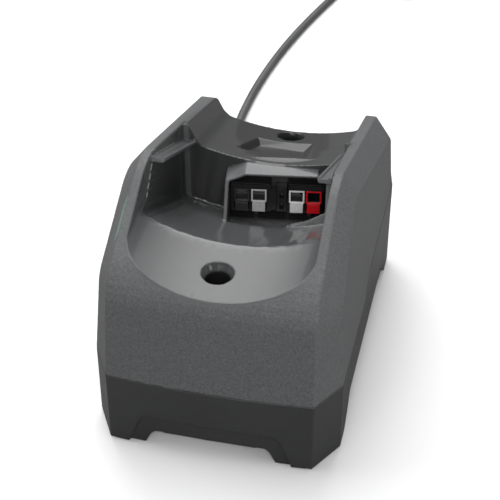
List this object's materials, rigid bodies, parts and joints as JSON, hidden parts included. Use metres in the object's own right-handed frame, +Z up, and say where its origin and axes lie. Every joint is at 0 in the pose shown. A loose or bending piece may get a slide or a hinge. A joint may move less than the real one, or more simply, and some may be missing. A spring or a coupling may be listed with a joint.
{
  "type": "battery charger",
  "caption": "Desktop battery charger: a dark plastic cradle for a slide-in tool battery, with hooded contacts, wall-screw wells, a light guide and a coiled mains cord.",
  "frame": {"origin": "middle of the underside, on the surface the four feet stand on", "axes": "+X to the right of the charger, +Y to its rear where the cord leaves, +Z up"},
  "size_m": [0.1782, 0.6124, 0.1247],
  "materials": {
    "upper_shell": "fine spark texture, satin inside the cradle",
    "base_shell": "satin",
    "lens": "frosted",
    "contact_black": "semi-gloss",
    "contact_dark": "semi-gloss",
    "contact_grey": "semi-gloss",
    "contact_white": "semi-gloss",
    "contact_red": "semi-gloss",
    "contact_metal": "plated",
    "board": "solder mask",
    "steel": "zinc plated",
    "ferrite": "matt",
    "winding_tape": "gloss",
    "capacitor_sleeve": "gloss",
    "heat_sink": "extruded",
    "chip": "matt",
    "copper": "enamelled",
    "connector": "satin",
    "lamp": "diffuse",
    "lead_grey": "matt",
    "lead_red": "matt",
    "foot": "matt",
    "relief": "matt",
    "cord": "satin",
    "tie": "matt",
    "plug": "satin",
    "plug_metal": "nickel plated"
  },
  "bodies": {
    "root": {"upper_housing": "upper_shell", "lower_housing": "base_shell", "light_guide": "lens", "terminal_frame": "contact_black", "contact_dark": "contact_dark", "contact_grey": "contact_grey", "contact_white": "contact_white", "contact_red": "contact_red", "contact_blades": "contact_metal", "data_connector": "contact_black", "data_pins": "contact_metal", "circuit_board": "board", "board_screws": "steel", "transformer_core": "ferrite", "transformer_winding": "winding_tape", "bulk_capacitor": "capacitor_sleeve", "output_capacitors": "capacitor_sleeve", "heat_sink": "heat_sink", "power_transistors": "chip", "fuse": "chip", "line_choke": "copper", "filter_capacitor": "winding_tape", "controller_chip": "chip", "mains_connector": "connector", "output_connector": "connector", "indicator_board": "board", "status_led": "lamp", "indicator_lead": "lead_grey", "mains_lead": "lead_grey", "output_leads": "lead_red", "cord_clamp": "contact_dark", "housing_screws": "steel", "foot_pads": "foot", "strain_relief": "relief", "power_cord": "cord", "cord_coil": "cord", "cord_tie": "tie", "plug_body": "plug", "plug_pins": "plug_metal"}
  },
  "joints": []
}
